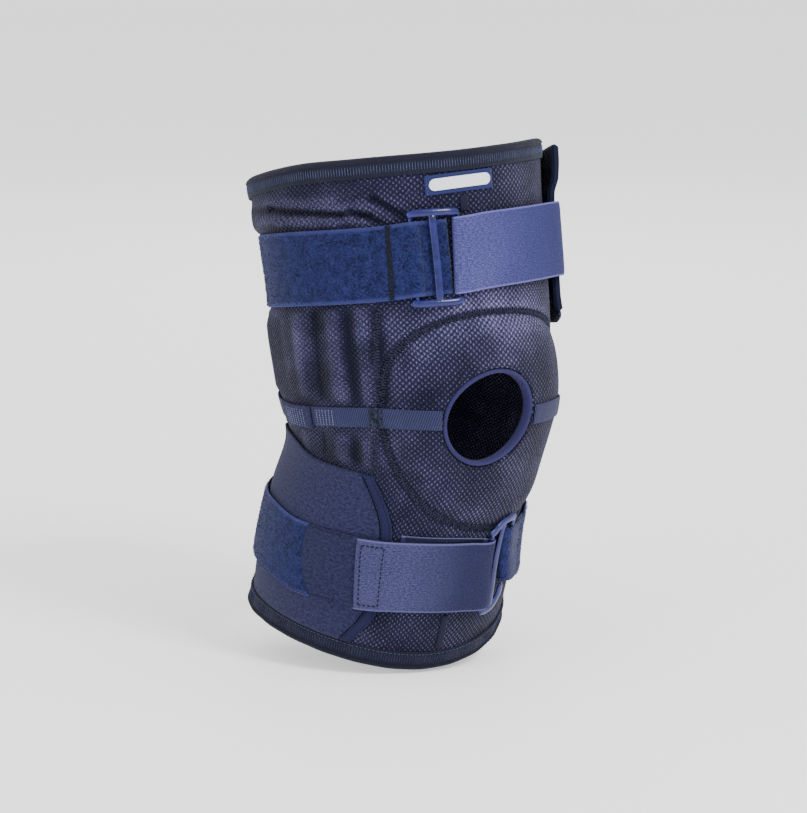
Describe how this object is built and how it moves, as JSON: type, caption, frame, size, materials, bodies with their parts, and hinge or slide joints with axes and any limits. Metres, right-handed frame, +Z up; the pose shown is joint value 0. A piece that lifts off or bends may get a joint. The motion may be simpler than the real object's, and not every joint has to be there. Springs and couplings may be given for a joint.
{
  "type": "elastic knee support",
  "caption": "Padded elastic knee sleeve, slightly bent, with an open kneecap hole, bound rims, thigh and calf straps, plastic slides and a wrap flap.",
  "frame": {"origin": "middle of the knee on the leg's axis, level with the kneecap hole", "axes": "+Z up the leg, -Y to the front, -X to the outer side of a right leg"},
  "size_m": [0.1724, 0.1928, 0.2948],
  "materials": {
    "mesh": "padded three-dimensional air mesh, dark navy with pale violet-grey dots, matt",
    "binding": "ribbed dark navy elastic binding, matt",
    "ring_edge": "blue-violet knitted edge binding, matt",
    "webbing": "narrow ribbed webbing, slate blue",
    "loop": "fuzzy brushed loop fabric, deep blue",
    "elastic": "fine woven elastic, light violet blue, slight sheen",
    "knit": "smooth warp-knit elastic, dark blue",
    "plastic": "glossy blue moulded plastic with violet highlights",
    "label": "blue woven label tab",
    "patch": "pale bare patch, matt print film"
  },
  "bodies": {
    "root": {"sleeve": "mesh", "top_binding": "binding", "bottom_binding": "binding", "patella_ring": "ring_edge", "knee_band_lateral": "webbing", "knee_band_medial": "webbing", "knee_band_tab": "webbing", "upper_loop_strap": "loop", "upper_elastic_strap": "elastic", "upper_buckle": "plastic", "thigh_flap": "mesh", "thigh_flap_binding": "binding", "calf_panel": "knit", "calf_panel_edge_lateral": "binding", "calf_panel_edge_medial": "binding", "lower_loop_strap": "loop", "lower_knit_strap": "knit", "lower_elastic_strap": "elastic", "lower_buckle": "plastic", "lower_tail": "loop", "label_tab": "label", "label_patch": "patch", "centre_tape_upper": "binding", "centre_tape_lower": "binding"}
  },
  "joints": []
}
